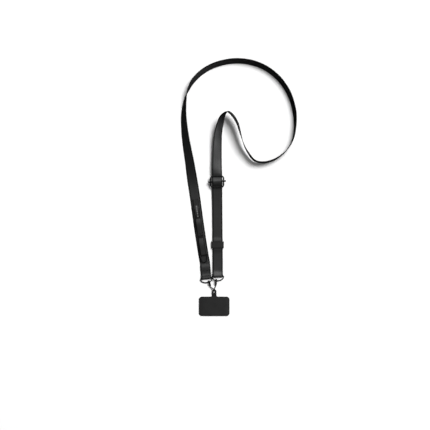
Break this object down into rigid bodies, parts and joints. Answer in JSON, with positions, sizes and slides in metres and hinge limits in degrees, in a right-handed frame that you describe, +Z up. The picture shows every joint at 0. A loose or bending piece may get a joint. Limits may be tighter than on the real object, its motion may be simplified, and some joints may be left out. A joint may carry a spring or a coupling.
{
  "type": "phone crossbody strap",
  "caption": "Adjustable webbing strap that carries a phone across the body, with slider, keeper, D-rings, trigger clasps, tether cord and case tab.",
  "frame": {"origin": "middle of the strap's footprint on the table that it lies on", "axes": "+Y from the phone tab to the top of the neck loop, +X to the right lane's side, +Z up"},
  "size_m": [0.2258, 0.503, 0.035],
  "materials": {
    "webbing": "smooth black nylon webbing, matt with a soft sheen",
    "tape": "narrow black nylon tape",
    "keeper": "black woven elastic",
    "black_metal": "black plated wire, satin",
    "clasp_metal": "black plated casting, satin",
    "cord": "braided black cord",
    "tab": "flexible black plastic, matt"
  },
  "bodies": {
    "strap": {"strap_webbing": "webbing", "utility_tape": "tape", "keeper_loop": "keeper", "slider_frame": "black_metal", "slider_bar": "black_metal", "left_d_ring": "black_metal", "right_d_ring": "black_metal", "left_clasp": "clasp_metal", "right_clasp": "clasp_metal", "tether_cord": "cord", "phone_tab": "tab"},
    "left_gate": {"left_clasp_lever": "clasp_metal"},
    "right_gate": {"right_clasp_lever": "clasp_metal"},
    "small_ring": {"accessory_ring": "black_metal"}
  },
  "joints": [
    {"name": "left_gate_trigger", "type": "hinge", "parent": "strap", "child": "left_gate", "pos_m": [-0.05646, -0.18828, 0.00531], "axis": [-0.9611, -0.276, 0], "range_deg": [0, 22], "stiffness_Nm_per_rad": 0.0001, "springref_deg": -14.32},
    {"name": "right_gate_trigger", "type": "hinge", "parent": "strap", "child": "right_gate", "pos_m": [-0.04413, -0.18556, 0.0062], "axis": [-0.9986, 0.052, 0], "range_deg": [0, 22], "stiffness_Nm_per_rad": 0.0001, "springref_deg": -14.32},
    {"name": "accessory_ring_turn", "type": "hinge", "parent": "strap", "child": "small_ring", "pos_m": [-0.06878, -0.13013, 0.00391], "axis": [-0.9868, -0.162, 0], "range_deg": [0, 150]}
  ]
}
